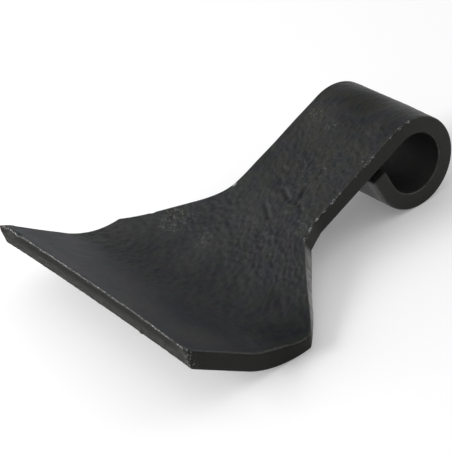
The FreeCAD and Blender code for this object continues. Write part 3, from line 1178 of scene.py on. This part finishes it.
paint = Finish("worn_black_paint")
here = paint.node("TexCoord", {}, {}, "Object")
strip_place = paint.attribute("strip", "Vector")
blots = paint.noise(here, BLOT_SIZE, SOFT_DETAIL)
tints = paint.noise(paint.stretched(here, MIRRORED), TINT_SIZE, SOFT_DETAIL)
speckle = paint.noise(here, SPECKLE_SIZE, detail=3, roughness=0.6)
grain = paint.noise(here, GRAIN_SIZE)
along_wheel = paint.stretched(strip_place, ALONG_WHEEL)
wheel_marks = paint.noise(along_wheel, MARK_SIZE, detail=3, roughness=0.65)
shear_marks = paint.noise(paint.stretched(strip_place, ALONG_SHEARS), MARK_SIZE)
print("nodes so far:", len(paint.tree.nodes))

# %% [markdown]
# Each mask is an attribute times a noise that has been sharpened, so that it is 0 below one end and
# 1 above the other. The bare steel along an arris uses a sum instead: where the attribute is strong
# the noise can't break the line, where it is weak only the noise's peaks show.

# %% Masks
GRAIN_BREAKS = 1.5
SPECKLE_BREAKS = 2.0
BARE_ENDS = (0.60, 0.90)
BARE_AT_ALL = (0.02, 0.12)
RUB_ENDS = (0.33, 0.64)
SCUFF_ENDS = (0.54, 0.70)
SHEAR_ENDS = (0.20, 0.60)
WHEEL_ENDS = (0.30, 0.72)

bare_noise = GRAIN_BREAKS * (grain - MIDDLE) + SPECKLE_BREAKS * (speckle - MIDDLE)
bare_steel = paint.step(paint.attribute("bare") + bare_noise, BARE_ENDS)
bare_steel = bare_steel * paint.step(paint.attribute("bare"), BARE_AT_ALL)
# This mask also paints highlights: lighter grey lines along the arrises.
rubs_and_highlights = paint.attribute("rubbed_and_highlit") * paint.step(speckle, RUB_ENDS)
scuffs = paint.attribute("scuffed") * paint.step(speckle, SCUFF_ENDS)
# The gloss mask below drives the clear coat and also a grey painted reflection in the colour.
gloss_and_painted_sheen_streaks = paint.attribute("gloss_and_painted_sheen") * paint.step(shear_marks, SHEAR_ENDS)
ground_streaks = paint.attribute("ground") * paint.step(wheel_marks, WHEEL_ENDS)
print("nodes with the masks:", len(paint.tree.nodes))

# %% [markdown]
# The paint's black isn't one black. It turns from olive to blue in soft blots, colder on the flare
# than on the stem, with a little plum over both. The smooth scoop runs from green to blue, and the
# cut and ground faces are a darker brown, which on the side faces is painted shade.

# %% Colours of the coat
DEEP_BLACK = (0.0046, 0.0065, 0.0080, 1)
OLIVE_BLACK = (0.0112, 0.0116, 0.0084, 1)
SLATE_BLACK = (0.0100, 0.0126, 0.0102, 1)
INK_BLACK = (0.0046, 0.0064, 0.0094, 1)
PLUM_BLACK = (0.0098, 0.0078, 0.0122, 1)
GREEN_BLACK = (0.0069, 0.0112, 0.0144, 1)
BLUE_BLACK = (0.0105, 0.0103, 0.0178, 1)
# The brown black is darker than the coat: on the side faces it is painted shade as well as their brown.
BROWN_AND_SHADED_BLACK = (0.0042, 0.0040, 0.0022, 1)
SOFT_ENDS = (0.38, 0.62)
PLUM_ENDS = (0.48, 0.64)
PLUM_SHARE = 0.6
BROWN_ENDS = (0.45, 0.70)
BROWN_BROKEN = 0.6

dark_blots = paint.mix(paint.attribute("spread"), DEEP_BLACK, INK_BLACK)
light_blots = paint.mix(paint.attribute("spread"), OLIVE_BLACK, SLATE_BLACK)
coat = paint.mix(paint.step(blots, SOFT_ENDS), dark_blots, light_blots)
coat = paint.mix(PLUM_SHARE * paint.step(tints, PLUM_ENDS), coat, PLUM_BLACK)
scoop_coat = paint.mix(paint.step(tints, SOFT_ENDS), GREEN_BLACK, BLUE_BLACK)
coat = paint.mix(paint.attribute("pressed"), coat, scoop_coat)
# On the side faces this brown black is painted shade as well as the faces' own brown.
raw_and_shaded_faces = paint.larger(paint.attribute("cut"), paint.attribute("ground"))
coat = paint.mix(raw_and_shaded_faces * (1 - BROWN_BROKEN * paint.step(speckle, BROWN_ENDS)), coat, BROWN_AND_SHADED_BLACK)
print("nodes with the coat:", len(paint.tree.nodes))

# %% [markdown]
# Then the wear and the painted light go on top, layer by layer: greyer coat with painted light in the
# bore, wheel marks and the darker band, lines worn grey with painted highlights, scuffs, the grey
# painted reflection, and last the bare steel, which is the only part that counts as metal.

# %% Colours of the wear and of painted light
# A darker band along the upper part of the ground face.
DARK_BAND_BLACK = (0.0014, 0.0012, 0.0006, 1)
# A lighter grey for patches and faces; in the lower part of the bore it is painted light.
GREY_AND_PAINTED_LIGHT = (0.0260, 0.0258, 0.0248, 1)
# The same grey paints highlights along the arrises, besides the rubbing and the wheel marks.
RUB_AND_HIGHLIGHT_GREY = (0.085, 0.083, 0.078, 1)
SCUFF_GREY = (0.200, 0.194, 0.168, 1)
# A painted reflection: this grey stands in for the floor seen at a grazing angle on the flank and the
# tail.
PAINTED_SHEEN_GREY = (0.150, 0.150, 0.147, 1)
STEEL = (0.40, 0.40, 0.39, 1)
WHEEL_SHARE = 0.36
SCUFF_SHARE = 0.8

layers = [
    (paint.attribute("greyer_and_painted_light"), GREY_AND_PAINTED_LIGHT),
    (WHEEL_SHARE * ground_streaks, RUB_AND_HIGHLIGHT_GREY),
    (paint.attribute("dark_band"), DARK_BAND_BLACK),
    (rubs_and_highlights, RUB_AND_HIGHLIGHT_GREY),
    (SCUFF_SHARE * scuffs, SCUFF_GREY),
    (gloss_and_painted_sheen_streaks, PAINTED_SHEEN_GREY),
    (bare_steel, STEEL),
]
for share, colour in layers:
    coat = paint.mix(share, coat, colour)
print("layers of wear:", len(layers))

# %% [markdown]
# Roughness follows the same masks: satin with soft clouds, duller on cut, ground and pressed faces,
# smoother in the grey gloss. The finest relief is a bump, because the mesh is too coarse for it. A
# clear coat gives the grey gloss, over its grey painted reflection, and the glossy eye.

# %% Gloss and grain
SATIN = 0.52
CLOUDS = 0.10
CUT_DULLER = 0.10
PRESSED_DULLER = 0.07
SHEEN_SMOOTHER = 0.10
GROUND_DULLER = 0.08
STEEL_ROUGHNESS = 0.58
GRAIN_RELIEF = 0.4
PRESSED_FLATTER = 0.5
BUMP_HEIGHT = 0.22 * MM
COAT_INDEX = 1.39
EYE_GLOSS = 0.2
GLOSS_ROUGHNESS = 0.3

dullness = SATIN + CLOUDS * (blots - MIDDLE) + CLOUDS * (speckle - MIDDLE)
dullness = dullness + CUT_DULLER * paint.attribute("cut") + PRESSED_DULLER * paint.attribute("pressed")
dullness = dullness - SHEEN_SMOOTHER * gloss_and_painted_sheen_streaks + GROUND_DULLER * ground_streaks
dullness = dullness * (1 - bare_steel) + STEEL_ROUGHNESS * bare_steel

relief = GRAIN_RELIEF * grain + speckle * (1 - PRESSED_FLATTER * paint.attribute("pressed"))
bumps = paint.node("Bump", {}, {"Strength": 1.0, "Distance": BUMP_HEIGHT, "Height": relief}, "Normal")
gloss = paint.larger(gloss_and_painted_sheen_streaks, EYE_GLOSS * paint.attribute("glossy"))
paint.set(Base_Color=coat, Metallic=bare_steel, Roughness=dullness, IOR=COAT_INDEX, Normal=bumps)
paint.set(Coat_Weight=gloss, Coat_Roughness=GLOSS_ROUGHNESS)
print("nodes with the gloss:", len(paint.tree.nodes))

# %% [markdown]
# The dull coat is a second shader with a lower index, which reflects less. A Mix Shader lets it take
# over where the attribute says so.

# %% Dull coat
DULL_ROUGHNESS = 0.7
DULL_INDEX = 1.26
dull_coat = paint.blend(paint.attribute("dull") * (1 - bare_steel))
paint.set(dull_coat, Base_Color=coat, Roughness=DULL_ROUGHNESS, IOR=DULL_INDEX, Normal=bumps)
blade.data.materials.clear()
blade.data.materials.append(paint.material)
print("nodes in the paint:", len(paint.tree.nodes))

# %% [markdown]
# ## Floor, backdrop and light
# The blade lies on a wide pale floor. The floor is lit like the blade, and the camera sees a little
# extra from it, so that it comes out white with the blade's soft shadow kept.

# %% Floor
FLOOR_SIDE = 40.0
FLOOR_COLOUR = (0.90, 0.90, 0.90, 1)
FLOOR_LIFT = (0.15, 0.15, 0.15, 1)
NO_LIFT = (0, 0, 0, 1)
FLOOR_ROUGHNESS = 0.9
FLOOR_SPECULAR = 0.1

deselect_objects()
bpy.ops.mesh.primitive_plane_add(size=FLOOR_SIDE, location=(AIM.x, 0, CAD_LOW.z))
floor = bpy.context.object
floor.name = "floor"
bpy.ops.object.transform_apply(location=True, rotation=True, scale=True)

pale = Finish("pale_floor")
seen = pale.node("LightPath", {}, {}, "Is Camera Ray")
for ray in ("Is Glossy Ray", "Is Transmission Ray"):
    seen = pale.larger(seen, pale.node("LightPath", {}, {}, ray))
pale.set(Base_Color=FLOOR_COLOUR, Roughness=FLOOR_ROUGHNESS, Specular_IOR_Level=FLOOR_SPECULAR)
pale.set(Emission_Color=pale.mix(seen, NO_LIFT, FLOOR_LIFT), Emission_Strength=1.0)
floor.data.materials.append(pale.material)
print("floor at", CAD_LOW.z)

# %% [markdown]
# Three soft square lamps stand low round the blade. The strong one rakes over the stem and the
# scoop and brings out the forging marks, the others open up the eye's end and the shadows. The room
# is an even grey. A lamp's radiance is how bright its face looks, and its power follows from that.

# %% Light
ROOM_GREY = 0.56
WHITE = (1, 1, 1, 1)
LAMP_SIZE = 0.7
LAMP_DISTANCE = 1.0
LAMP_ELEVATION = math.radians(25)
LAMPS = [
    ("rim", math.radians(22), 0.86),
    ("key", math.radians(67), 6.0),
    ("fill", math.radians(247), 0.78),
]

for name, azimuth, radiance in LAMPS:
    lamp = bpy.data.lights.new(name, type="AREA")
    lamp.size = LAMP_SIZE
    lamp.energy = radiance * math.pi * LAMP_SIZE ** 2
    stand(name, lamp, azimuth, LAMP_ELEVATION, LAMP_DISTANCE)
    print(name, "lamp gives", round(lamp.energy, 2), "W")

world = bpy.data.worlds.new("studio")
world.use_nodes = True
world.node_tree.nodes["Background"].inputs["Color"].default_value = WHITE
world.node_tree.nodes["Background"].inputs["Strength"].default_value = ROOM_GREY
bpy.context.scene.world = world
bpy.context.scene.view_settings.view_transform = "Standard"
